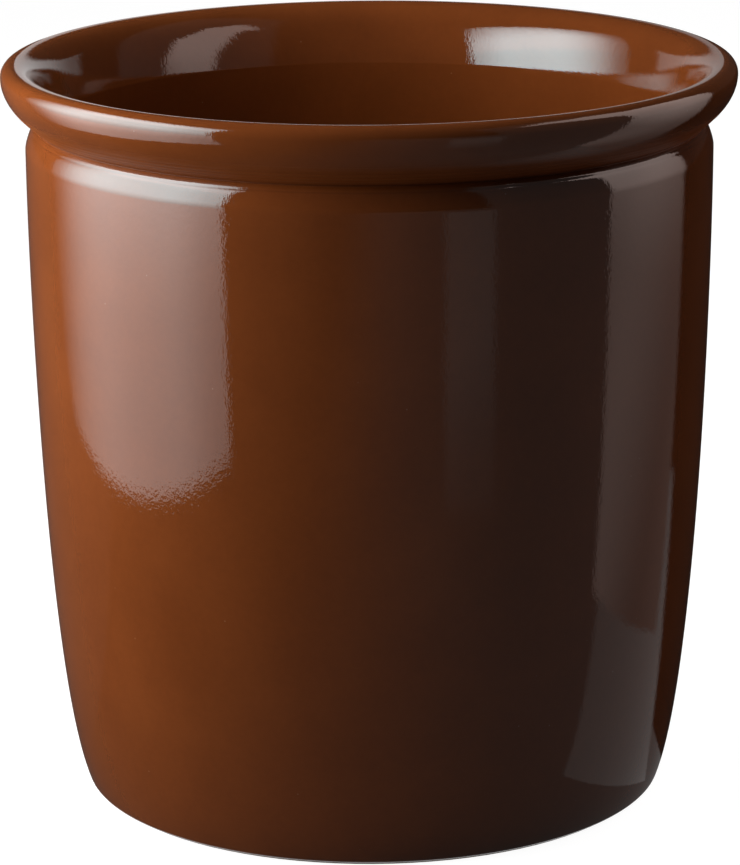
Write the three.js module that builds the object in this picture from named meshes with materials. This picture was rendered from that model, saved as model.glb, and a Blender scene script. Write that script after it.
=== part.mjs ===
// A glazed stoneware preserving crock: a turned pot with a drawn-in heel, a rounded shoulder, a tie groove
// and a rolled rim. Millimetres, +Z up, origin on the table under the middle of the foot.
import * as THREE from 'three';

// Overall sizes, on the finished glazed surface. Heights are above the table.
const height = 167.4; // crest of the lip
const wallRadius = 77.2; // widest part of the wall, just under the shoulder
const wallThickness = 6; // from glaze to glaze
const floorHeight = 9; // the inside floor
const coveRadius = 14; // rounding between the inside floor and the inside wall

// How the wall draws in towards the foot.
const footTaper = 11.1; // widest part of the wall to the heel
const heelFlare = 0.38; // outward run for each millimetre that the wall rises from the heel
const heelReach = 21.1; // height over which that flare fades
const shoulderReach = 46.2; // height under the shoulder over which the wall comes upright

// Shoulder and tie groove, which a cover is tied down into.
const grooveDepth = 2.5; // wall to the bottom of the groove
const grooveRound = 0.2;
const shoulderDrop = 5.1; // bottom of the groove down to the crease of the shoulder
const shoulderRound = 5;
const shoulderLean = THREE.MathUtils.degToRad(14.5); // from upright, just above the crease
const shoulderRise = 3.9; // height over which that lean fades into a steeper one towards the groove

// Rolled rim.
const rimOverhang = 5.2; // how far the rim stands out past the wall
const rimDepth = 13.6; // crest of the lip down to the bottom of the groove
const rimFace = 5.7; // how far under its widest line the rim's outer face stays near upright
const lipRadius = 2.7;

// Mouth and throat inside the rim. The leans are from upright.
const mouthDrop = 4.9; // crest of the lip down to the top of the throat
const throatHeight = 8.8;
const throatLeanTop = THREE.MathUtils.degToRad(22);
const throatLeanFoot = THREE.MathUtils.degToRad(10);

// Foot.
const glazeLine = 0.5; // where the glaze stops, rolled under the heel
const heelRound = 1.4;
const footRingWidth = 9;
const footRound = 0.4;
const recessDepth = 2.4;
const recessLean = 1.5; // run of the recess's sloping side

// Glaze.
const glazeThickness = 0.6;
const bondGap = 0.02; // keeps the clay and the glaze face to face without sharing a surface

// Facets.
const turnSteps = 48;
const wallSteps = 8;
const shoulderSteps = 2;
const rimSteps = 5;
const lipSteps = 4;
const mouthSteps = 4;
const throatSteps = 3;
const cornerSteps = 2;
const coveSteps = 4;

const at = (radius, level) => new THREE.Vector2(radius, level);
const leaning = (lean, rise) => at(rise * Math.tan(lean), rise);
const bend = (start, handle, end) => new THREE.QuadraticBezierCurve(start, handle, end);

// Points of the arc that rounds a corner of an outline.
function roundedCorner(before, corner, after, radius, steps) {
  const toBefore = before.clone().sub(corner).normalize();
  const toAfter = after.clone().sub(corner).normalize();
  const halfAngle = Math.acos(toBefore.dot(toAfter)) / 2;
  const start = corner.clone().addScaledVector(toBefore, radius / Math.tan(halfAngle));
  const middle = toBefore.clone().add(toAfter).normalize();
  const centre = corner.clone().addScaledVector(middle, radius / Math.sin(halfAngle));
  const turn = Math.sign(toAfter.cross(toBefore)) * (Math.PI - 2 * halfAngle);
  const arc = [];
  for (let step = 0; step <= steps; step += 1) {
    arc.push(start.clone().rotateAround(centre, (turn * step) / steps));
  }
  return arc;
}

// Moves an outline into the material behind it by the same depth all along, with mitred corners.
function inset(outline, depth) {
  const normals = outline.slice(1).map((point, index) => {
    const run = point.clone().sub(outline[index]).normalize();
    return at(-run.y, run.x);
  });
  return outline.map((point, index) => {
    const behind = normals[Math.max(index - 1, 0)];
    const ahead = normals[Math.min(index, normals.length - 1)];
    const mitre = behind.clone().add(ahead).divideScalar(1 + behind.dot(ahead));
    return point.clone().addScaledVector(mitre, depth);
  });
}

// Radius of a rising curve at a level, found by halving.
function radiusAt(curve, level) {
  let low = 0;
  let high = 1;
  for (let halving = 0; halving < 40; halving += 1) {
    const middle = (low + high) / 2;
    if (curve.getPoint(middle).y < level) {
      low = middle;
    } else {
      high = middle;
    }
  }
  return curve.getPoint(low).x;
}

// The finished surface, from under the heel up the outside, over the lip and down to the middle of the floor.
const rimRadius = wallRadius + rimOverhang;
const grooveRadius = wallRadius - grooveDepth;
const boreRadius = wallRadius - wallThickness;
const grooveHeight = height - rimDepth;
const shoulderHeight = grooveHeight - shoulderDrop;
const lipCentre = at(rimRadius - lipRadius, height - lipRadius);

const crease = at(wallRadius, shoulderHeight);
const shoulderHandle = crease.clone().add(leaning(-shoulderLean, shoulderRise));
const groove = at(grooveRadius, grooveHeight);
const rimUnder = at(rimRadius, lipCentre.y - rimFace);
const creaseArc = roundedCorner(at(wallRadius, 0), crease, shoulderHandle, shoulderRound, cornerSteps);
const grooveArc = roundedCorner(shoulderHandle, groove, rimUnder, grooveRound, cornerSteps);
const shoulder = bend(creaseArc.at(-1), shoulderHandle, grooveArc[0]);

const heel = at(wallRadius - footTaper, glazeLine);
const aboveHeel = at(heel.x + heelFlare * heelReach, heel.y + heelReach);
const heelArc = roundedCorner(at(0, glazeLine), heel, aboveHeel, heelRound, cornerSteps);
const wall = new THREE.CubicBezierCurve(
  heelArc.at(-1),
  aboveHeel,
  at(wallRadius, shoulderHeight - shoulderReach),
  creaseArc[0],
);
const wallPoints = wall.getPoints(wallSteps);

const underside = bend(grooveArc.at(-1), rimUnder, at(rimRadius, lipCentre.y));
const lip = new THREE.EllipseCurve(lipCentre.x, lipCentre.y, lipRadius, lipRadius, 0, Math.PI / 2);

const throatFoot = at(boreRadius, height - mouthDrop - throatHeight);
const throatMiddle = throatFoot.clone().add(leaning(throatLeanFoot, throatHeight / 2));
const throatTop = throatMiddle.clone().add(leaning(throatLeanTop, throatHeight / 2));
const mouthEdge = throatTop.clone().add(leaning(throatLeanTop, mouthDrop));
const mouth = bend(at(lipCentre.x, height), mouthEdge, throatTop);
const throat = bend(throatTop, throatMiddle, throatFoot);

const insideFoot = at(radiusAt(wall, floorHeight) - wallThickness, floorHeight);
const coveTop = floorHeight + coveRadius;
const aboveCove = at(radiusAt(wall, coveTop) - wallThickness, coveTop);
const coveArc = roundedCorner(aboveCove, insideFoot, at(0, floorHeight), coveRadius, coveSteps);
const insidePoints = wallPoints
  .map((point) => at(point.x - wallThickness, point.y))
  .filter((point) => point.y > coveTop && point.y < shoulderHeight)
  .reverse();

const finish = [
  ...heelArc.slice(0, -1),
  ...wallPoints.slice(0, -1),
  ...creaseArc.slice(0, -1),
  ...shoulder.getPoints(shoulderSteps).slice(0, -1),
  ...grooveArc.slice(0, -1),
  ...underside.getPoints(rimSteps).slice(0, -1),
  ...lip.getPoints(lipSteps),
  ...mouth.getPoints(mouthSteps).slice(1),
  ...throat.getPoints(throatSteps).slice(1),
  ...insidePoints,
  ...coveArc,
  at(0, floorHeight),
];

// The clay lies under the glaze. Inside the glaze's lower edge it stands down bare to its foot ring.
const claySkin = inset(finish, glazeThickness);
const footEdge = at(claySkin[0].x - bondGap, 0);
const footTop = at(footEdge.x, claySkin[0].y);
const recessEdge = at(footEdge.x - footRingWidth, 0);
const recessRadius = recessEdge.x - recessLean;

// Turns an outline round the upright axis into a named solid.
function turned(name, outline, finishOptions) {
  const geometry = new THREE.LatheGeometry(outline, turnSteps);
  geometry.rotateX(Math.PI / 2);
  const mesh = new THREE.Mesh(geometry, new THREE.MeshStandardMaterial(finishOptions));
  mesh.name = name;
  return mesh;
}

function stonewareBody() {
  const outline = [
    at(0, recessDepth),
    at(recessRadius, recessDepth),
    recessEdge,
    ...roundedCorner(recessEdge, footEdge, footTop, footRound, cornerSteps),
    footTop,
    ...claySkin.slice(1),
  ];
  return turned('stoneware_body', outline, { color: 0xb8a68f, roughness: 0.85, metalness: 0 });
}

function glazeCoat() {
  const bondedSide = inset(finish, glazeThickness - bondGap).reverse();
  const outline = [...bondedSide, ...finish];
  return turned('glaze_coat', outline, { color: 0x6e3a1e, roughness: 0.1, metalness: 0 });
}

function baseGlaze() {
  const top = recessDepth - bondGap;
  const edge = recessRadius - bondGap;
  const outline = [at(0, top - glazeThickness), at(edge, top - glazeThickness), at(edge, top), at(0, top)];
  return turned('base_glaze', outline, { color: 0x5c301a, roughness: 0.15, metalness: 0 });
}

const crock = new THREE.Group();
crock.add(stonewareBody(), glazeCoat(), baseGlaze());

export default crock;
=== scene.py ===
"""A brown glazed stoneware preserving crock, as the eye sees it, standing on a pale studio table."""

import logging
import math
from dataclasses import dataclass, field
from enum import Enum

import bmesh
import bpy
from mathutils import Matrix, Vector, noise
from mathutils.geometry import interpolate_bezier


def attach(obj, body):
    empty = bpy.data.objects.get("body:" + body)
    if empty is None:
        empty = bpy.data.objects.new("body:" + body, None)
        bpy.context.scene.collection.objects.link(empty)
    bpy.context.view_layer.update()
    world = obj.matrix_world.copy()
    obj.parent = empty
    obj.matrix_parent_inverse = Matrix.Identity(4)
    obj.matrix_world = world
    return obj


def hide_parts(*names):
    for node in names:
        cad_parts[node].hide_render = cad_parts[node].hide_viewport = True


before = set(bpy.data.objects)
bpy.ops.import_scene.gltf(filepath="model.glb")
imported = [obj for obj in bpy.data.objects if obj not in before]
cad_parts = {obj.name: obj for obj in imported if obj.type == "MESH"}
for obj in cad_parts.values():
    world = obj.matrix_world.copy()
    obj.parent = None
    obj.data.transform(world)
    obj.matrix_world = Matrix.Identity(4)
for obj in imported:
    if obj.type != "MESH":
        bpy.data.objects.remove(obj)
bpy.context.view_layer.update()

log = logging.getLogger("crock")

MM = 0.001
SAME_POINT_MM = 0.002
LEAST_SQUARE = 1e-12
BODY = "root"

Colour = tuple[float, float, float, float]
Point = tuple[float, float, float]
Span = tuple[float, float]
Value = bpy.types.NodeSocket | Colour | float


class Solid(Enum):
    """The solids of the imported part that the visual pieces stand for."""

    CLAY = "stoneware_body"
    GLAZE = "glaze_coat"
    BASE = "base_glaze"


class Slot(Enum):
    """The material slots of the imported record."""

    CLAY = "bare_stoneware"
    GLAZE = "brown_glaze"


class Shown(Enum):
    """How a sheet of the studio reaches the crock."""

    MIRRORED = "only in the gloss"
    LIGHTING = "only as light"


def linear(colour: str) -> Colour:
    """Turns an sRGB colour to linear light.

    Args:
        colour: A hash and six hex digits.

    Returns:
        Red, green and blue in linear light, and an alpha of 1.
    """
    channels = []
    for start in (1, 3, 5):
        value = int(colour[start : start + 2], 16) / 255
        channels.append(value / 12.92 if value <= 0.04045 else ((value + 0.055) / 1.055) ** 2.4)
    return (channels[0], channels[1], channels[2], 1.0)


def add_node(tree: bpy.types.NodeTree, kind: str, settings: dict, inputs: dict) -> bpy.types.Node:
    """Adds a node with its settings and links.

    Args:
        tree: The node tree to add to.
        kind: Blender's name for the kind of node.
        settings: Properties of the node by name.
        inputs: Values or output sockets by the name or number of the input that takes them.

    Returns:
        The new node.
    """
    node = tree.nodes.new(kind)
    for name, value in settings.items():
        setattr(node, name, value)
    for socket, value in inputs.items():
        if isinstance(value, bpy.types.NodeSocket):
            tree.links.new(value, node.inputs[socket])
        else:
            node.inputs[socket].default_value = value
    return node


def new_material(name: str) -> tuple[bpy.types.Material, bpy.types.NodeTree]:
    """Makes a material with an empty node tree.

    Args:
        name: The material's name.

    Returns:
        The material and its node tree.
    """
    material = bpy.data.materials.new(name)
    material.use_nodes = True
    material.node_tree.nodes.clear()
    return material, material.node_tree


def millimetres(tree: bpy.types.NodeTree, stretch: Point = (1.0, 1.0, 1.0)) -> bpy.types.NodeSocket:
    """Gives the piece's own coordinates in millimetres, so that a pattern of 1/size repeats at that size.

    Args:
        tree: The node tree to add to.
        stretch: How many times longer the pattern is drawn along each axis.

    Returns:
        The socket with the coordinates.
    """
    place = add_node(tree, "ShaderNodeTexCoord", {}, {})
    scale = tuple(1 / (MM * length) for length in stretch)
    mapping = add_node(tree, "ShaderNodeMapping", {}, {"Vector": place.outputs["Object"], "Scale": scale})
    return mapping.outputs["Vector"]


def finish_surface(tree: bpy.types.NodeTree, shader: bpy.types.Node) -> None:
    """Sends a shader to the material's surface."""
    add_node(tree, "ShaderNodeOutputMaterial", {}, {"Surface": shader.outputs[0]})


def combine(tree: bpy.types.NodeTree, operation: str, *values: Value) -> bpy.types.NodeSocket:
    """Works out one number from others.

    Args:
        tree: The node tree to add to.
        operation: Blender's name for the sum.
        values: The numbers or sockets that it takes.

    Returns:
        The socket with the result.
    """
    return add_node(tree, "ShaderNodeMath", {"operation": operation}, dict(enumerate(values))).outputs[0]


def ramp(
    tree: bpy.types.NodeTree, value: Value, reach: Span, shares: Span = (0.0, 1.0)
) -> bpy.types.NodeSocket:
    """Turns a value's run over a reach into a run of shares, which holds past both ends.

    Args:
        tree: The node tree to add to.
        value: The socket with the value.
        reach: The values at which the run starts and ends.
        shares: What it gives there.

    Returns:
        The socket with the share.
    """
    ends = {"From Min": reach[0], "From Max": reach[1], "To Min": shares[0], "To Max": shares[1]}
    return add_node(tree, "ShaderNodeMapRange", {}, {"Value": value, **ends}).outputs[0]


def mix(tree: bpy.types.NodeTree, share: Value, under: Value, over: Value) -> bpy.types.NodeSocket:
    """Mixes two colours.

    Args:
        tree: The node tree to add to.
        share: How much of the second colour shows, from 0 to 1.
        under: The first colour.
        over: The second colour.

    Returns:
        The socket with the mixed colour.
    """
    return add_node(tree, "ShaderNodeMix", {"data_type": "RGBA"}, {0: share, 6: under, 7: over}).outputs[2]


def patches(
    tree: bpy.types.NodeTree, place: Value, size_mm: float, detail: float, fineness: float = 0.5
) -> bpy.types.NodeSocket:
    """Adds a soft random pattern.

    Args:
        tree: The node tree to add to.
        place: The coordinates in millimetres.
        size_mm: How large its patches are.
        detail: How many finer layers it has.
        fineness: How strong the finer layers are.

    Returns:
        The socket with the pattern, from 0 to 1.
    """
    pattern = {"Vector": place, "Scale": 1 / size_mm, "Detail": detail, "Roughness": fineness}
    return add_node(tree, "ShaderNodeTexNoise", {}, pattern).outputs["Fac"]


def spots(
    tree: bpy.types.NodeTree, place: Value, spacing_mm: float, size_mm: float, share: float
) -> bpy.types.NodeSocket:
    """Adds scattered round spots.

    Args:
        tree: The node tree to add to.
        place: The coordinates in millimetres.
        spacing_mm: How far apart the spots are.
        size_mm: The radius at which a spot ends. It is full at half of that.
        share: What the pattern gives inside a spot. It gives 0 elsewhere.

    Returns:
        The socket with the pattern.
    """
    pattern = {"Vector": place, "Scale": 1 / spacing_mm}
    cells = add_node(tree, "ShaderNodeTexVoronoi", {"feature": "F1"}, pattern)
    radius = size_mm / spacing_mm
    return ramp(tree, cells.outputs["Distance"], (radius, radius / 2), (0.0, share))


def raised(
    tree: bpy.types.NodeTree, pattern: Value, depth_mm: float, below: Value | None = None
) -> bpy.types.NodeSocket:
    """Raises the surface by a pattern.

    Args:
        tree: The node tree to add to.
        pattern: The socket with the pattern.
        depth_mm: How high a full pattern stands.
        below: The raised layer that it lies on, if there is one.

    Returns:
        The socket with the surface's direction.
    """
    inputs = {"Height": pattern, "Strength": 1.0, "Distance": depth_mm * MM}
    if below is not None:
        inputs["Normal"] = below
    return add_node(tree, "ShaderNodeBump", {}, inputs).outputs["Normal"]


def point_mark(tree: bpy.types.NodeTree, name: str) -> bpy.types.NodeSocket:
    """Reads a mark that a piece carries on its points."""
    return add_node(tree, "ShaderNodeAttribute", {"attribute_name": name}, {}).outputs["Fac"]


@dataclass(frozen=True)
class BrownGlaze:
    """A brown iron glaze on stoneware, dipped and fired.

    It gives the eye a deep, even brown under a glassy skin: sharp highlights with slightly ragged edges from
    the orange peel, faint clouds of colour, a redder tone where it ran thin over the edges, a darker one
    where it pooled, a few pinholes, and little gloss up in the tie groove.
    """

    name: str = "brown_stoneware_glaze"
    body: str = "#683415"
    cloud: str = "#733B19"
    thin: str = "#824621"
    pooled: str = "#4C2512"
    pinhole: str = "#8C6A58"
    thin_share: float = 0.6
    pooled_share: float = 0.7
    pinhole_share: float = 0.6
    roughness: float = 0.03
    roughness_drift: float = 0.3
    groove_roughness: float = 0.4
    shine: float = 0.5
    groove_shine: float = 0.08
    ior: float = 1.55
    cloud_mm: float = 24.0
    cloud_reach: Span = (0.45, 0.95)
    mottle_mm: float = 1.6
    mottle_share: float = 0.35
    peel_mm: float = 1.0
    peel_depth_mm: float = 0.014
    grain_mm: float = 0.4
    grain_depth_mm: float = 0.0085
    skin_stretch: Point = (0.8, 0.8, 1.2)
    pinhole_spacing_mm: float = 7.0
    pinhole_mm: float = 0.22

    def material(self) -> bpy.types.Material:
        """Makes the glaze as a material."""
        material, tree = new_material(self.name)
        groove = point_mark(tree, GlazeCoat.GROOVE)
        coat = add_node(
            tree,
            "ShaderNodeBsdfPrincipled",
            {},
            {
                "Base Color": self.colour(tree),
                "Roughness": self.gloss(tree, groove),
                "IOR": self.ior,
                "Specular IOR Level": ramp(tree, groove, (0.0, 1.0), (self.shine, self.groove_shine)),
                "Normal": self.skin(tree),
            },
        )
        finish_surface(tree, coat)
        return material

    def colour(self, tree: bpy.types.NodeTree) -> bpy.types.NodeSocket:
        """Mixes the browns by the glaze's clouds, its depth and its pinholes."""
        place = millimetres(tree)
        clouds = patches(tree, place, self.cloud_mm, 3.0, 0.6)
        mottle = patches(tree, place, self.mottle_mm, 2.0)
        blend = combine(tree, "MULTIPLY_ADD", mottle, self.mottle_share, clouds)
        ground = mix(tree, ramp(tree, blend, self.cloud_reach), linear(self.body), linear(self.cloud))
        depth = point_mark(tree, GlazeCoat.DEPTH)
        thin = ramp(tree, depth, (0.5, 0.0), (0.0, self.thin_share))
        thinned = mix(tree, thin, ground, linear(self.thin))
        deep = ramp(tree, depth, (0.5, 1.0), (0.0, self.pooled_share))
        pooled = mix(tree, deep, thinned, linear(self.pooled))
        holes = spots(tree, place, self.pinhole_spacing_mm, self.pinhole_mm, self.pinhole_share)
        return mix(tree, holes, pooled, linear(self.pinhole))

    def gloss(self, tree: bpy.types.NodeTree, groove: bpy.types.NodeSocket) -> bpy.types.NodeSocket:
        """Lets the roughness drift a little, and dulls the glaze in the tie groove.

        Args:
            tree: The node tree to add to.
            groove: The socket that says how far up in the groove a place is.

        Returns:
            The socket with the roughness.
        """
        drift = patches(tree, millimetres(tree), self.cloud_mm, 2.0)
        least = self.roughness * (1 - self.roughness_drift)
        most = self.roughness * (1 + self.roughness_drift)
        rough = ramp(tree, drift, (0.0, 1.0), (least, most))
        return combine(tree, "MULTIPLY_ADD", groove, self.groove_roughness, rough)

    def skin(self, tree: bpy.types.NodeTree) -> bpy.types.NodeSocket:
        """Lays the orange peel and the finer grain of the glaze over the surface."""
        place = millimetres(tree, self.skin_stretch)
        peel = patches(tree, place, self.peel_mm, 1.0)
        grain = patches(tree, place, self.grain_mm, 1.0)
        return raised(tree, grain, self.grain_depth_mm, raised(tree, peel, self.peel_depth_mm))


@dataclass(frozen=True)
class BareStoneware:
    """Fired stoneware left bare where the pot stands.

    It gives the eye a dull, pale buff clay with a sandy grain and darker iron specks.
    """

    name: str = "bare_stoneware"
    clay: str = "#A48F76"
    shade: str = "#8B755D"
    speck: str = "#4A382A"
    speck_share: float = 0.8
    roughness: float = 0.85
    cloud_mm: float = 14.0
    grain_mm: float = 0.4
    grain_depth_mm: float = 0.08
    speck_spacing_mm: float = 2.6
    speck_mm: float = 0.35

    def material(self) -> bpy.types.Material:
        """Makes the bare clay as a material."""
        material, tree = new_material(self.name)
        place = millimetres(tree)
        clouds = patches(tree, place, self.cloud_mm, 4.0)
        ground = mix(tree, clouds, linear(self.shade), linear(self.clay))
        specks = spots(tree, place, self.speck_spacing_mm, self.speck_mm, self.speck_share)
        grit = patches(tree, place, self.grain_mm, 2.0)
        clay = add_node(
            tree,
            "ShaderNodeBsdfPrincipled",
            {},
            {
                "Base Color": mix(tree, specks, ground, linear(self.speck)),
                "Roughness": self.roughness,
                "Normal": raised(tree, grit, self.grain_depth_mm),
            },
        )
        finish_surface(tree, clay)
        return material


@dataclass(frozen=True)
class TableTop:
    """A pale matt table.

    It gives the eye a plain near-white ground, on which the crock's soft shadow still shows.
    """

    name: str = "pale_table"
    colour: str = "#7F7E7E"
    glow: float = 0.96

    def material(self) -> bpy.types.Material:
        """Makes the table, which shows pale to the camera and in mirrors, and keeps the shadow."""
        material, tree = new_material(self.name)
        rays = add_node(tree, "ShaderNodeLightPath", {}, {}).outputs
        seen = combine(tree, "ADD", rays["Is Camera Ray"], rays["Is Glossy Ray"])
        shown = combine(tree, "ADD", seen, rays["Is Transmission Ray"])
        strength = ramp(tree, shown, (0.0, 1.0), (0.0, self.glow))
        matt = add_node(tree, "ShaderNodeBsdfDiffuse", {}, {"Color": linear(self.colour)})
        pale = add_node(tree, "ShaderNodeEmission", {}, {"Strength": strength})
        both = add_node(tree, "ShaderNodeAddShader", {}, {0: matt.outputs[0], 1: pale.outputs[0]})
        finish_surface(tree, both)
        return material


@dataclass(frozen=True)
class Change:
    """How a cloth's light changes along a line, from one share of it to another. Places in millimetres."""

    start: Point
    end: Point
    first: float
    last: float = 1.0

    @classmethod
    def up(cls, start: float, end: float, first: float, last: float = 1.0) -> "Change":
        """Makes a change from one level up to another."""
        return cls((0.0, 0.0, start), (0.0, 0.0, end), first, last)

    @classmethod
    def back(cls, start: float, end: float, first: float, last: float = 1.0) -> "Change":
        """Makes a change from the front of the studio towards its back."""
        return cls((0.0, start, 0.0), (0.0, end, 0.0), first, last)

    @classmethod
    def across(cls, start: float, end: float, first: float, last: float = 1.0) -> "Change":
        """Makes a change from the left of the studio towards its right."""
        return cls((start, 0.0, 0.0), (end, 0.0, 0.0), first, last)

    def share(self, tree: bpy.types.NodeTree) -> bpy.types.NodeSocket:
        """Gives the share of the light at each place of the cloth."""
        run = Vector(self.end) - Vector(self.start)
        axis = run / run.length_squared
        along = add_node(
            tree,
            "ShaderNodeVectorMath",
            {"operation": "DOT_PRODUCT"},
            {0: millimetres(tree), 1: axis},
        )
        begin = axis.dot(Vector(self.start))
        share = add_node(
            tree,
            "ShaderNodeMapRange",
            {"interpolation_type": "SMOOTHSTEP"},
            {
                "Value": along.outputs["Value"],
                "From Min": begin,
                "From Max": begin + 1,
                "To Min": self.first,
                "To Max": self.last,
            },
        )
        return share.outputs[0]


@dataclass(frozen=True)
class LitCloth:
    """Plain cloth or card that gives off light. A strength of 1 is white.

    It gives the eye nothing of its own, since the camera does not see it: only light on the crock, or an
    even patch in the crock's gloss.
    """

    name: str
    strength: float
    changes: tuple[Change, ...] = ()
    tint: str = "#FFFFFF"

    def material(self) -> bpy.types.Material:
        """Makes the cloth as a lamp."""
        material, tree = new_material(self.name)
        strength = self.strength
        for change in self.changes:
            strength = combine(tree, "MULTIPLY", strength, change.share(tree))
        light = add_node(
            tree,
            "ShaderNodeEmission",
            {},
            {"Color": linear(self.tint), "Strength": strength},
        )
        finish_surface(tree, light)
        return material


@dataclass
class OutlinePen:
    """Draws an outline in the upright half plane with mesh operators. Its sizes are in millimetres."""

    mesh: bmesh.types.BMesh
    start: Vector
    tip: bmesh.types.BMVert = field(init=False)

    def __post_init__(self) -> None:
        """Sets the pen down at the start."""
        self.tip = self.mesh.verts.new(self.place(self.start))

    @staticmethod
    def place(point: Vector) -> Vector:
        """Gives the place in space of a radius and a level."""
        return Vector((point.x, 0.0, point.y)) * MM

    @property
    def at(self) -> Vector:
        """The radius and level at which the pen is."""
        return Vector((self.tip.co.x, self.tip.co.z)) / MM

    def step_to(self, point: Vector) -> None:
        """Draws one straight step to a point."""
        made = bmesh.ops.extrude_vert_indiv(self.mesh, verts=[self.tip])
        self.tip = made["verts"][0]
        self.tip.co = self.place(point)

    def line_to(self, point: Vector, steps: int = 1) -> None:
        """Draws a straight line in equal steps.

        Args:
            point: Where the line ends.
            steps: How many steps it has.
        """
        start = self.at
        for step in range(1, steps + 1):
            self.step_to(start.lerp(point, step / steps))

    def arc(self, centre: Vector, turn: float, steps: int) -> None:
        """Draws an arc round a centre.

        Args:
            centre: The middle of the arc.
            turn: The angle in radians, from the radius towards the height.
            steps: How many steps it has.
        """
        made = bmesh.ops.spin(
            self.mesh,
            geom=[self.tip],
            cent=self.place(centre),
            axis=(0.0, -1.0, 0.0),
            angle=turn,
            steps=steps,
        )
        self.tip = next(part for part in made["geom_last"] if isinstance(part, bmesh.types.BMVert))

    def bend_to(self, handle: Vector, end: Vector, steps: int) -> None:
        """Draws a curve that leaves towards a handle and arrives from it.

        Args:
            handle: The point where the lines along the curve's two ends meet.
            end: Where the curve ends.
            steps: How many steps it has.
        """
        near = self.at.lerp(handle, 2 / 3)
        far = end.lerp(handle, 2 / 3)
        for point in interpolate_bezier(self.at, near, far, end, steps + 1)[1:]:
            self.step_to(point)

    def corner(self, point: Vector, after: Vector, radius: float, steps: int, approach: int = 1) -> None:
        """Draws a line up to a rounded corner and goes round it.

        Args:
            point: The sharp corner.
            after: A point on the line that leaves the corner.
            radius: The radius of the rounding.
            steps: How many steps the rounding has.
            approach: How many steps the line to the corner has.
        """
        rounding = Rounding.of(self.at, point, after, radius)
        self.line_to(rounding.start, approach)
        self.arc(rounding.centre, rounding.turn, steps)


@dataclass(frozen=True)
class Rounding:
    """The arc that rounds a corner of an outline."""

    start: Vector
    centre: Vector
    turn: float

    @classmethod
    def of(cls, before: Vector, point: Vector, after: Vector, radius: float) -> "Rounding":
        """Works out the arc.

        Args:
            before: A point on the line that comes to the corner.
            point: The sharp corner.
            after: A point on the line that leaves the corner.
            radius: The radius of the arc.

        Returns:
            The arc that touches both lines.
        """
        back = (before - point).normalized()
        ahead = (after - point).normalized()
        half = math.acos(back.dot(ahead)) / 2
        start = point + back * (radius / math.tan(half))
        centre = point + (back + ahead).normalized() * (radius / math.sin(half))
        turn = math.copysign(math.pi - 2 * half, ahead.cross(back))
        return cls(start, centre, turn)

    @property
    def end(self) -> Vector:
        """Where the arc ends."""
        spoke = self.start - self.centre
        return self.centre + Matrix.Rotation(self.turn, 2) @ spoke


def level_point(radius: float, level: float) -> Vector:
    """Gives a point of an outline from its radius and its level above the table, in millimetres."""
    return Vector((radius, level))


@dataclass(frozen=True)
class TurnedLine:
    """A fine line that the turning tool left round the neck. Sizes in millimetres."""

    level: float
    depth: float
    width: float

    def depth_at(self, level: float) -> float:
        """How deep the line is at a level."""
        return self.depth * math.exp(-(((level - self.level) / self.width) ** 2))


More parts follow.
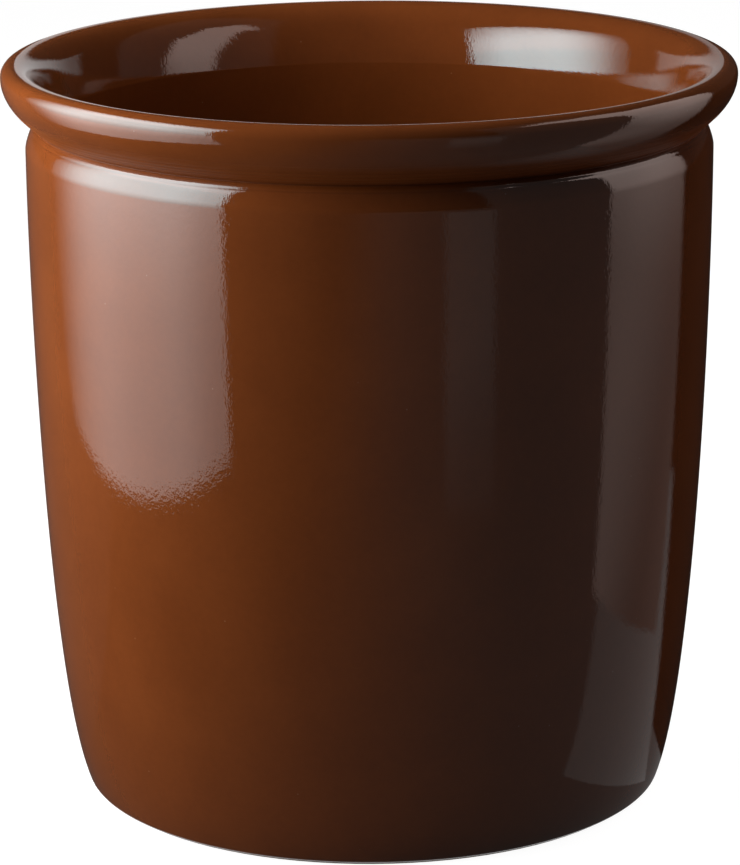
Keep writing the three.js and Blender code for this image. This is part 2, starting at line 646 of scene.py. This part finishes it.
@dataclass
class CrockShape:
    """The finished outline of the crock, in millimetres above the table and from its upright axis."""

    height: float = 167.4
    wall_radius: float = 77.2
    wall_thickness: float = 6.0
    floor_height: float = 9.0
    cove_radius: float = 14.0
    foot_taper: float = 11.1
    heel_flare: float = 0.38
    heel_reach: float = 21.1
    shoulder_reach: float = 46.2
    groove_depth: float = 2.5
    groove_round: float = 0.2
    shoulder_drop: float = 5.1
    shoulder_round: float = 5.0
    shoulder_lean: float = math.radians(14.5)
    shoulder_rise: float = 3.9
    rim_overhang: float = 5.2
    rim_depth: float = 13.6
    rim_face: float = 5.7
    lip_radius: float = 2.7
    mouth_drop: float = 4.9
    throat_height: float = 8.8
    throat_lean_top: float = math.radians(22)
    throat_lean_foot: float = math.radians(10)
    throat_round: float = 2.5
    glaze_line: float = 0.5
    heel_round: float = 1.4
    glaze_thickness: float = 0.6
    heel_steps: int = 6
    wall_points: int = 40
    crease_steps: int = 10
    shoulder_steps: int = 22
    groove_steps: int = 4
    underside_steps: int = 52
    lip_steps: int = 14
    mouth_steps: int = 14
    throat_steps: int = 12
    ease_steps: int = 3
    cove_steps: int = 12
    floor_steps: int = 16
    turned_lines: tuple[TurnedLine, ...] = (
        TurnedLine(152.4, 0.05, 0.25),
        TurnedLine(154.4, 0.1, 0.3),
        TurnedLine(155.2, 0.12, 0.3),
        TurnedLine(156.0, 0.12, 0.3),
        TurnedLine(156.9, 0.1, 0.3),
    )

    @property
    def rim_radius(self) -> float:
        """The widest line of the rim."""
        return self.wall_radius + self.rim_overhang

    @property
    def bore_radius(self) -> float:
        """The inside of the wall under the throat."""
        return self.wall_radius - self.wall_thickness

    @property
    def groove_height(self) -> float:
        """The level of the bottom of the tie groove."""
        return self.height - self.rim_depth

    @property
    def shoulder_height(self) -> float:
        """The level of the crease of the shoulder."""
        return self.groove_height - self.shoulder_drop

    @property
    def heel(self) -> Vector:
        """The sharp corner under the rounding of the heel."""
        return level_point(self.wall_radius - self.foot_taper, self.glaze_line)

    @property
    def above_heel(self) -> Vector:
        """The handle that the wall leaves the heel by."""
        return self.heel + level_point(self.heel_flare, 1.0) * self.heel_reach

    @property
    def heel_rounding(self) -> Rounding:
        """The rounding that the glaze rolls under the wall by."""
        return Rounding.of(level_point(0.0, self.glaze_line), self.heel, self.above_heel, self.heel_round)

    @property
    def crease(self) -> Vector:
        """The sharp corner of the shoulder."""
        return level_point(self.wall_radius, self.shoulder_height)

    @property
    def shoulder_handle(self) -> Vector:
        """The handle that turns the shoulder in to the tie groove."""
        return self.crease + level_point(-math.tan(self.shoulder_lean), 1.0) * self.shoulder_rise

    @property
    def crease_rounding(self) -> Rounding:
        """The rounding of the shoulder's crease."""
        return Rounding.of(
            level_point(self.wall_radius, 0.0), self.crease, self.shoulder_handle, self.shoulder_round
        )

    @property
    def groove_rounding(self) -> Rounding:
        """The rounding at the bottom of the tie groove."""
        return Rounding.of(self.shoulder_handle, self.groove, self.rim_under, self.groove_round)

    @property
    def groove(self) -> Vector:
        """The sharp bottom of the tie groove."""
        return level_point(self.wall_radius - self.groove_depth, self.groove_height)

    @property
    def lip_centre(self) -> Vector:
        """The middle of the lip's rounding."""
        return level_point(self.rim_radius - self.lip_radius, self.height - self.lip_radius)

    @property
    def rim_under(self) -> Vector:
        """The handle that shapes the underside of the rim."""
        return level_point(self.rim_radius, self.lip_centre.y - self.rim_face)

    def wall_curve(self) -> list[Vector]:
        """Points up the outside of the wall, from the heel to the shoulder."""
        start = self.heel_rounding.end
        end = self.crease_rounding.start
        handle = level_point(self.wall_radius, self.shoulder_height - self.shoulder_reach)
        return interpolate_bezier(start, self.above_heel, handle, end, self.wall_points)

    def draw(self, mesh: bmesh.types.BMesh) -> None:
        """Draws the finished surface from under the heel, over the lip and down to the middle of the floor.

        Args:
            mesh: The mesh that the outline is drawn in.
        """
        pen = OutlinePen(mesh, self.heel_rounding.start)
        pen.arc(self.heel_rounding.centre, self.heel_rounding.turn, self.heel_steps)
        for point in self.wall_curve()[1:]:
            pen.step_to(point)
        pen.arc(self.crease_rounding.centre, self.crease_rounding.turn, self.crease_steps)
        pen.bend_to(self.shoulder_handle, self.groove_rounding.start, self.shoulder_steps)
        pen.arc(self.groove_rounding.centre, self.groove_rounding.turn, self.groove_steps)
        self.draw_rim(pen)
        self.draw_inside(pen)

    def draw_rim(self, pen: OutlinePen) -> None:
        """Draws the underside of the rim and its lip, as far as the crest.

        Args:
            pen: The pen, at the top of the tie groove's rounding.
        """
        widest = level_point(self.rim_radius, self.lip_centre.y)
        pen.bend_to(self.rim_under, widest, self.underside_steps)
        pen.arc(self.lip_centre, math.pi / 2, self.lip_steps)

    def draw_inside(self, pen: OutlinePen) -> None:
        """Draws the mouth, the throat, the inside wall, the cove and the floor.

        Args:
            pen: The pen, at the crest of the lip.
        """
        half = self.throat_height / 2
        throat_foot = level_point(self.bore_radius, self.height - self.mouth_drop - self.throat_height)
        throat_middle = throat_foot + level_point(math.tan(self.throat_lean_foot), 1.0) * half
        throat_top = throat_middle + level_point(math.tan(self.throat_lean_top), 1.0) * half
        mouth = throat_top + level_point(math.tan(self.throat_lean_top), 1.0) * self.mouth_drop
        ease = Rounding.of(throat_middle, throat_foot, level_point(self.bore_radius, 0.0), self.throat_round)
        pen.bend_to(mouth, throat_top, self.mouth_steps)
        pen.bend_to(throat_middle, ease.start, self.throat_steps)
        pen.arc(ease.centre, ease.turn, self.ease_steps)
        cove_top = self.floor_height + self.cove_radius
        thickness = level_point(self.wall_thickness, 0.0)
        inside = [point - thickness for point in self.wall_curve()]
        falling = [point for point in reversed(inside) if cove_top < point.y < self.shoulder_height]
        for point in falling:
            pen.step_to(point)
        floor_edge = min(inside, key=lambda point: abs(point.y - self.floor_height))
        corner = level_point(floor_edge.x, self.floor_height)
        middle = level_point(0.0, self.floor_height)
        pen.corner(corner, middle, self.cove_radius, self.cove_steps)
        pen.line_to(middle, self.floor_steps)

    def score(self, mesh: bmesh.types.BMesh) -> None:
        """Cuts the turning tool's fine lines into the neck.

        Args:
            mesh: The mesh with the drawn outline.
        """
        for vert in mesh.verts:
            level = vert.co.z / MM
            if vert.co.x < self.groove.x * MM or level < self.shoulder_height:
                continue
            vert.co.x -= MM * sum(line.depth_at(level) for line in self.turned_lines)


def turn_round(mesh: bmesh.types.BMesh, steps: int) -> None:
    """Turns a drawn outline once round the upright axis.

    Args:
        mesh: The mesh with the outline.
        steps: How many steps the turn has.
    """
    bmesh.ops.spin(
        mesh,
        geom=mesh.verts[:] + mesh.edges[:],
        cent=(0.0, 0.0, 0.0),
        axis=(0.0, 0.0, 1.0),
        angle=2 * math.pi,
        steps=steps,
        use_merge=True,
    )
    bmesh.ops.remove_doubles(mesh, verts=mesh.verts[:], dist=SAME_POINT_MM * MM)
    bmesh.ops.recalc_face_normals(mesh, faces=mesh.faces[:])


def face_outwards(mesh: bmesh.types.BMesh) -> None:
    """Turns an open sheet round if its outer wall faces inwards."""
    outer = max(mesh.faces, key=lambda face: face.calc_center_median().xy.length)
    if outer.normal.xy.dot(outer.calc_center_median().xy) < 0:
        bmesh.ops.reverse_faces(mesh, faces=mesh.faces[:])


def new_piece(name: str, mesh: bmesh.types.BMesh) -> bpy.types.Object:
    """Makes an object of a finished mesh, smooth all over, and puts it in the scene.

    Args:
        name: The piece's name.
        mesh: The finished mesh, which is freed.

    Returns:
        The new object.
    """
    data = bpy.data.meshes.new(name)
    mesh.to_mesh(data)
    mesh.free()
    data.shade_smooth()
    piece = bpy.data.objects.new(name, data)
    bpy.context.scene.collection.objects.link(piece)
    return piece


@dataclass
class GlazeCoat:
    """The glass coat over the inside, the rim and the outside of the crock."""

    DEPTH = "glaze_depth"
    GROOVE = "tie_groove"

    shape: CrockShape
    finish: bpy.types.Material
    steps: int = 192
    wander_mm: float = 0.05
    wander_size_mm: float = 55.0
    groove_reach_mm: float = 7.0
    groove_margin_mm: float = 0.3

    def build(self) -> bpy.types.Object:
        """Turns the finished outline, with its fine lines, into a coat of even thickness."""
        mesh = bmesh.new()
        self.shape.draw(mesh)
        self.shape.score(mesh)
        turn_round(mesh, self.steps)
        face_outwards(mesh)
        self.wander(mesh)
        self.mark_depth(mesh)
        self.mark_groove(mesh)
        piece = new_piece("glaze", mesh)
        wall = piece.modifiers.new("coat", "SOLIDIFY")
        wall.thickness = self.shape.glaze_thickness * MM
        wall.offset = -1.0
        return piece

    def wander(self, mesh: bmesh.types.BMesh) -> None:
        """Moves the surface off the true round by a hair, as drying and firing do."""
        mesh.normal_update()
        for vert in mesh.verts:
            drift = noise.noise(vert.co / (self.wander_size_mm * MM))
            vert.co += vert.normal * (drift * self.wander_mm * MM)

    def mark_depth(self, mesh: bmesh.types.BMesh) -> None:
        """Notes on each point whether the glaze ran thin over an edge (0) or pooled in a hollow (1)."""
        mesh.normal_update()
        layer = mesh.verts.layers.float.new(self.DEPTH)
        for vert in mesh.verts:
            bend = 0.0
            for edge in vert.link_edges:
                run = edge.other_vert(vert).co - vert.co
                bend += run.dot(vert.normal) / max(run.length_squared, LEAST_SQUARE)
            bend *= MM / len(vert.link_edges)
            vert[layer] = 0.5 + max(-0.5, min(0.5, bend))

    def mark_groove(self, mesh: bmesh.types.BMesh) -> None:
        """Notes how far up in the tie groove each point is, from 1 at the bottom to 0 on the rim's face."""
        layer = mesh.verts.layers.float.new(self.GROOVE)
        bottom = self.shape.groove
        for vert in mesh.verts:
            outside = vert.co.xy.length / MM > bottom.x - self.groove_margin_mm
            climb = vert.co.z / MM - bottom.y
            share = min(1.0, 2.0 - 2.0 * climb / self.groove_reach_mm)
            vert[layer] = max(0.0, share) if outside and climb > -self.groove_margin_mm else 0.0

    def dress(self, piece: bpy.types.Object) -> None:
        """Gives the coat its finish and its place in the part."""
        piece.data.materials.append(self.finish)
        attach(piece, BODY)
        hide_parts(Solid.GLAZE.value)


@dataclass
class StonewareBody:
    """The fired clay under the glaze, with its bare foot ring."""

    shape: CrockShape
    finish: bpy.types.Material
    steps: int = 96
    foot_ring_width: float = 9.0
    foot_round: float = 0.4
    recess_depth: float = 2.4
    recess_lean: float = 1.5
    bond_gap: float = 0.02

    @property
    def foot_radius(self) -> float:
        """The outer edge of the foot ring."""
        return self.shape.heel_rounding.start.x - self.bond_gap

    @property
    def recess_radius(self) -> float:
        """The edge of the recess's flat."""
        return self.foot_radius - self.foot_ring_width - self.recess_lean

    def build(self) -> bpy.types.Object:
        """Makes the clay as the glazed outline drawn in by the glaze, closed across the foot."""
        mesh = bmesh.new()
        self.shape.draw(mesh)
        turn_round(mesh, self.steps)
        face_outwards(mesh)
        self.draw_in(mesh)
        self.draw_foot(mesh)
        return new_piece("clay", mesh)

    def draw_in(self, mesh: bmesh.types.BMesh) -> None:
        """Moves the surface in by the glaze's thickness."""
        mesh.normal_update()
        depth = (self.shape.glaze_thickness + self.bond_gap) * MM
        for vert in mesh.verts:
            vert.co -= vert.normal * depth

    def draw_foot(self, mesh: bmesh.types.BMesh) -> None:
        """Carries the lower edge down to the foot ring, across it, and up into the recess."""
        edge = [part for part in mesh.edges if part.is_boundary]
        for radius, level in (
            (self.foot_radius, self.shape.glaze_line + self.shape.glaze_thickness),
            (self.foot_radius, self.foot_round),
            (self.foot_radius - self.foot_round, 0.0),
            (self.foot_radius - self.foot_ring_width, 0.0),
            (self.recess_radius, self.recess_depth),
        ):
            edge = self.carry(mesh, edge, radius, level)
        bmesh.ops.edgeloop_fill(mesh, edges=edge)
        bmesh.ops.recalc_face_normals(mesh, faces=mesh.faces[:])

    @staticmethod
    def carry(
        mesh: bmesh.types.BMesh, edge: list[bmesh.types.BMEdge], radius: float, level: float
    ) -> list[bmesh.types.BMEdge]:
        """Extrudes a ring of edges to another radius and level.

        Args:
            mesh: The mesh.
            edge: The ring of edges.
            radius: The new ring's radius in millimetres.
            level: The new ring's level in millimetres.

        Returns:
            The new ring of edges.
        """
        made = bmesh.ops.extrude_edge_only(mesh, edges=edge)["geom"]
        for part in made:
            if isinstance(part, bmesh.types.BMVert):
                flat = part.co.xy.normalized() * (radius * MM)
                part.co = Vector((flat.x, flat.y, level * MM))
        return [part for part in made if isinstance(part, bmesh.types.BMEdge) and part.is_boundary]

    def dress(self, piece: bpy.types.Object) -> None:
        """Gives the clay its finish and its place in the part."""
        piece.data.materials.append(self.finish)
        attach(piece, BODY)
        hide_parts(Solid.CLAY.value)


@dataclass
class BaseGlaze:
    """The patch of glaze in the recess under the crock."""

    body: StonewareBody
    finish: bpy.types.Material
    steps: int = 96
    edge_round: float = 0.25
    edge_steps: int = 4
    under_steps: int = 12
    top_steps: int = 4

    def build(self) -> bpy.types.Object:
        """Turns the patch's outline into a thin disc with a rounded lower edge."""
        top = self.body.recess_depth - self.body.bond_gap
        bottom = top - self.body.shape.glaze_thickness
        edge = self.body.recess_radius - self.body.bond_gap
        mesh = bmesh.new()
        pen = OutlinePen(mesh, level_point(0.0, bottom))
        rim = level_point(edge, top)
        pen.corner(level_point(edge, bottom), rim, self.edge_round, self.edge_steps, self.under_steps)
        pen.line_to(rim)
        pen.line_to(level_point(0.0, top), self.top_steps)
        turn_round(mesh, self.steps)
        return new_piece("base_patch", mesh)

    def dress(self, piece: bpy.types.Object) -> None:
        """Gives the patch its finish and its place in the part."""
        piece.data.materials.append(self.finish)
        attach(piece, BODY)
        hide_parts(Solid.BASE.value)


@dataclass
class Studio:
    """The table, the lamps and the camera. Places in millimetres, angles in degrees."""

    camera_at: Point = (0.0, -907.0, 327.4)
    camera_pitch: float = 15.23
    camera_turn: float = 0.02
    camera_roll: float = -0.38
    focal_pixels: float = 4098.0
    long_side_pixels: float = 865.0
    sensor_mm: float = 36.0
    table_mm: float = 12000.0
    table_steps: int = 24
    world_strength: float = 0.02
    cloth_level_mm: float = 0.4
    cloth_hole_mm: float = 66.2
    cloth_reach_mm: float = 9000.0
    cloth_steps: int = 96

    def build(self) -> None:
        """Sets up the whole studio."""
        self.set_camera()
        self.lay_table()
        self.set_world()
        self.hang_lamps()
        self.lay_cloths()

    def set_camera(self) -> None:
        """Stands the camera where the photograph was taken from."""
        data = bpy.data.cameras.new("camera")
        data.sensor_width = self.sensor_mm
        data.lens = self.focal_pixels / self.long_side_pixels * self.sensor_mm
        camera = bpy.data.objects.new("camera", data)
        turn = Matrix.Rotation(math.radians(self.camera_turn), 4, "Z")
        pitch = Matrix.Rotation(math.radians(90 - self.camera_pitch), 4, "X")
        roll = Matrix.Rotation(math.radians(self.camera_roll), 4, "Z")
        camera.matrix_world = Matrix.Translation(Vector(self.camera_at) * MM) @ turn @ pitch @ roll
        bpy.context.scene.collection.objects.link(camera)
        bpy.context.scene.camera = camera

    def lay_table(self) -> None:
        """Lays the pale table under the crock."""
        mesh = bmesh.new()
        bmesh.ops.create_grid(
            mesh,
            x_segments=self.table_steps,
            y_segments=self.table_steps,
            size=self.table_mm / 2 * MM,
        )
        table = new_piece("table", mesh)
        table.data.materials.append(TableTop().material())

    def set_world(self) -> None:
        """Fills the room with a little even light."""
        world = bpy.data.worlds.new("room")
        world.use_nodes = True
        background = world.node_tree.nodes["Background"]
        background.inputs["Color"].default_value = linear("#FFFFFF")
        background.inputs["Strength"].default_value = self.world_strength
        bpy.context.scene.world = world

    def hang_lamps(self) -> None:
        """Hangs all that stands round the crock, from left to right, behind it and over it."""
        self.hang_left_diffuser()
        self.stand_right_card()
        self.stand_far_cards()
        self.stand_back_card()
        self.hang_overhead_cloth()

    def hang_left_diffuser(self) -> None:
        """Hangs the large diffuser to the left, as its light and as what the gloss shows of it."""
        near = (-226.0, -240.0)
        far = (-343.0, 183.0)
        foot_top = 110.0
        seam = 275.0
        top = 400.0
        rounded_corner = ((-327.0, 125.0, 1.0), (-335.0, 155.0, 19.0), (-341.0, 177.0, 58.0))
        foot = ((*near, 1.0), *rounded_corner, (*far, foot_top))
        glow = (
            Change.up(90.0, 130.0, 0.38),
            Change.back(-240.0, 0.0, 0.4),
            Change.back(60.0, 183.0, 1.0, 0.6),
            Change.up(230.0, 330.0, 0.8),
        )
        shine = (
            Change.up(0.0, 70.0, 0.8),
            Change.up(50.0, 210.0, 0.26),
            Change.back(-240.0, -135.0, 0.6),
            Change.back(-40.0, 170.0, 1.0, 0.08),
            Change.up(230.0, 300.0, 0.9),
            Change.up(310.0, 420.0, 1.0, 0.3),
        )
        self.sheet(LitCloth("left_light", 9.9, glow), (*foot, (*far, top), (*near, top)), Shown.LIGHTING)
        self.sheet(LitCloth("left_diffuser_foot", 11.0, shine), (*foot, (*near, foot_top)), Shown.MIRRORED)
        middle_cloth = LitCloth("left_diffuser_middle", 11.2, shine, "#DCFAFF")
        self.upright_card(middle_cloth, near, far, (foot_top, seam), Shown.MIRRORED)
        top_cloth = LitCloth("left_diffuser_top", 11.2, shine, "#ECFCFF")
        self.upright_card(top_cloth, near, far, (seam, top), Shown.MIRRORED)

    def stand_right_card(self) -> None:
        """Stands the dim card close by on the right, with its leaning top, and gives it a little light."""
        tint = "#FFE6DE"
        near = (185.0, -67.0)
        far = (148.0, 26.0)
        side_top = 212.0
        changes = (
            Change.up(95.0, 170.0, 0.38),
            Change.up(150.0, 260.0, 0.72),
            Change((0.0, -53.0, 85.0), (0.0, 17.0, 58.0), 1.0, 0.3),
        )
        leaning_front = ((198.0, -100.0, 300.0), (211.0, -133.0, 351.0), (230.0, -181.0, 383.0))
        peak = ((248.0, -225.0, 410.0), (196.0, -95.0, 410.0))
        leaning_back = (
            (181.0, -58.0, 360.0),
            (166.0, -20.0, 335.0),
            (162.0, -9.0, 280.0),
            (152.0, 15.0, 255.0),
        )
        self.sheet(
            LitCloth("right_card", 2.25, changes, tint),
            (
                (*near, 1.0),
                (*near, 235.0),
                *leaning_front,
                *peak,
                *leaning_back,
                (*far, side_top),
                (*far, 1.0),
            ),
            Shown.MIRRORED,
        )
        light = LitCloth("right_light", 0.25, (), tint)
        self.upright_card(light, near, far, (1.0, side_top), Shown.LIGHTING)

    def stand_far_cards(self) -> None:
        """Stands a soft fill at the back on the right, and the dim wall of the room beyond it."""
        fill = LitCloth("right_fill", 2.2)
        self.upright_card(fill, (400.0, 200.0), (400.0, 600.0), (1.0, 600.0), Shown.LIGHTING)
        room = LitCloth("room", 0.12)
        self.upright_card(room, (700.0, -900.0), (700.0, 250.0), (120.0, 1400.0), Shown.MIRRORED)

    def stand_back_card(self) -> None:
        """Stands a low card close behind, with raised ends, which the inside of the rim mirrors."""
        behind = 150.0
        foot = 120.0
        end = 88.0
        tops = ((-end, 213.0), (-60.0, 202.0), (-30.0, 194.0), (30.0, 194.0), (60.0, 202.0), (end, 216.0))
        outline = ((-end, foot), *tops, (end, foot))
        self.sheet(
            LitCloth("back_card", 0.75, (Change.across(0.0, 70.0, 1.0, 0.5),)),
            tuple((place, behind, level) for place, level in outline),
            Shown.MIRRORED,
        )

    def hang_overhead_cloth(self) -> None:
        """Hangs a soft fill over the crock."""
        side = 450.0
        front = -600.0
        back = 700.0
        level = 1100.0
        self.sheet(
            LitCloth("overhead_cloth", 1.0),
            ((-side, front, level), (-side, back, level), (side, back, level), (side, front, level)),
            Shown.LIGHTING,
        )

    def lay_cloths(self) -> None:
        """Lays dark cloth on the table round the crock, and dim cards on it to the right and in front."""
        front = Change.across(-150.0, 100.0, 0.25)
        back = Change.across(-150.0, 100.0, 1.0, 0.13)
        self.lay_dark_cloth(LitCloth("front_cloth", 0.12, (front,)), -1.0)
        self.lay_dark_cloth(LitCloth("back_cloth", 0.06, (back,)), 1.0)
        level = 2 * self.cloth_level_mm
        self.sheet(
            LitCloth("floor_card", 0.26),
            ((66.5, -60.0, level), (260.0, -60.0, level), (260.0, 126.0, level), (66.5, -20.0, level)),
            Shown.MIRRORED,
        )
        fade = Change.back(-420.0, -230.0, 1.0, 0.6)
        self.sheet(
            LitCloth("front_strip", 0.25, (fade,)),
            ((105.0, -265.0, level), (170.0, -230.0, level), (560.0, -680.0, level), (340.0, -790.0, level)),
            Shown.MIRRORED,
        )

    def lay_dark_cloth(self, finish: LitCloth, side: float) -> None:
        """Lays dark cloth on one half of the table, up to the foot of the crock.

        Args:
            finish: What the cloth is made of.
            side: 1 for the half behind the crock, -1 for the half in front of it.
        """
        mesh = bmesh.new()
        hole = self.cloth_hole_mm * MM
        ring = bmesh.ops.create_circle(mesh, radius=hole, segments=self.cloth_steps)["verts"]
        bmesh.ops.translate(mesh, verts=ring, vec=(0.0, 0.0, self.cloth_level_mm * MM))
        made = bmesh.ops.extrude_edge_only(mesh, edges=mesh.edges[:])["geom"]
        outer = [part for part in made if isinstance(part, bmesh.types.BMVert)]
        reach = self.cloth_reach_mm / self.cloth_hole_mm
        bmesh.ops.scale(mesh, verts=outer, vec=(reach, reach, 1.0))
        everything = mesh.verts[:] + mesh.edges[:] + mesh.faces[:]
        bmesh.ops.bisect_plane(
            mesh,
            geom=everything,
            plane_co=(0.0, 0.0, 0.0),
            plane_no=(0.0, side, 0.0),
            clear_inner=True,
        )
        self.stand(finish, mesh, Shown.MIRRORED)

    def upright_card(self, finish: LitCloth, near: Span, far: Span, levels: Span, shown: Shown) -> None:
        """Stands an upright card.

        Args:
            finish: What the card is made of.
            near: One end on the table's plane, in millimetres.
            far: The other end.
            levels: The levels of its lower and upper edges.
            shown: How it reaches the crock.
        """
        low, high = levels
        self.sheet(finish, ((*near, low), (*near, high), (*far, high), (*far, low)), shown)

    def sheet(self, finish: LitCloth, corners: tuple[Point, ...], shown: Shown) -> None:
        """Hangs or lays a flat sheet, out of the camera's sight.

        Args:
            finish: What the sheet is made of.
            corners: Its corners in millimetres.
            shown: How it reaches the crock.
        """
        mesh = bmesh.new()
        verts = [mesh.verts.new(Vector(corner) * MM) for corner in corners]
        mesh.faces.new(verts)
        self.stand(finish, mesh, shown)

    @staticmethod
    def stand(finish: LitCloth, mesh: bmesh.types.BMesh, shown: Shown) -> None:
        """Puts a sheet on the stage.

        Args:
            finish: What the sheet is made of.
            mesh: The sheet, which is freed.
            shown: How it reaches the crock.
        """
        sheet = new_piece(finish.name, mesh)
        lit = finish.material()
        if shown is Shown.MIRRORED:
            lit.cycles.emission_sampling = "NONE"
        sheet.data.materials.append(lit)
        sheet.visible_camera = False
        sheet.visible_shadow = False
        sheet.visible_diffuse = shown is Shown.LIGHTING
        sheet.visible_glossy = shown is Shown.MIRRORED


def main() -> None:
    """Builds the studio and the crock's pieces in order."""
    logging.basicConfig(level=logging.INFO)
    bpy.context.scene.view_settings.view_transform = "Standard"
    Studio().build()
    shape = CrockShape()
    glaze = BrownGlaze().material()
    body = StonewareBody(shape, BareStoneware().material())
    for part in (body, GlazeCoat(shape, glaze), BaseGlaze(body, glaze)):
        piece = part.build()
        part.dress(piece)
        log.info("%s: %d faces", piece.name, len(piece.data.polygons))


if __name__ == "__main__":
    main()
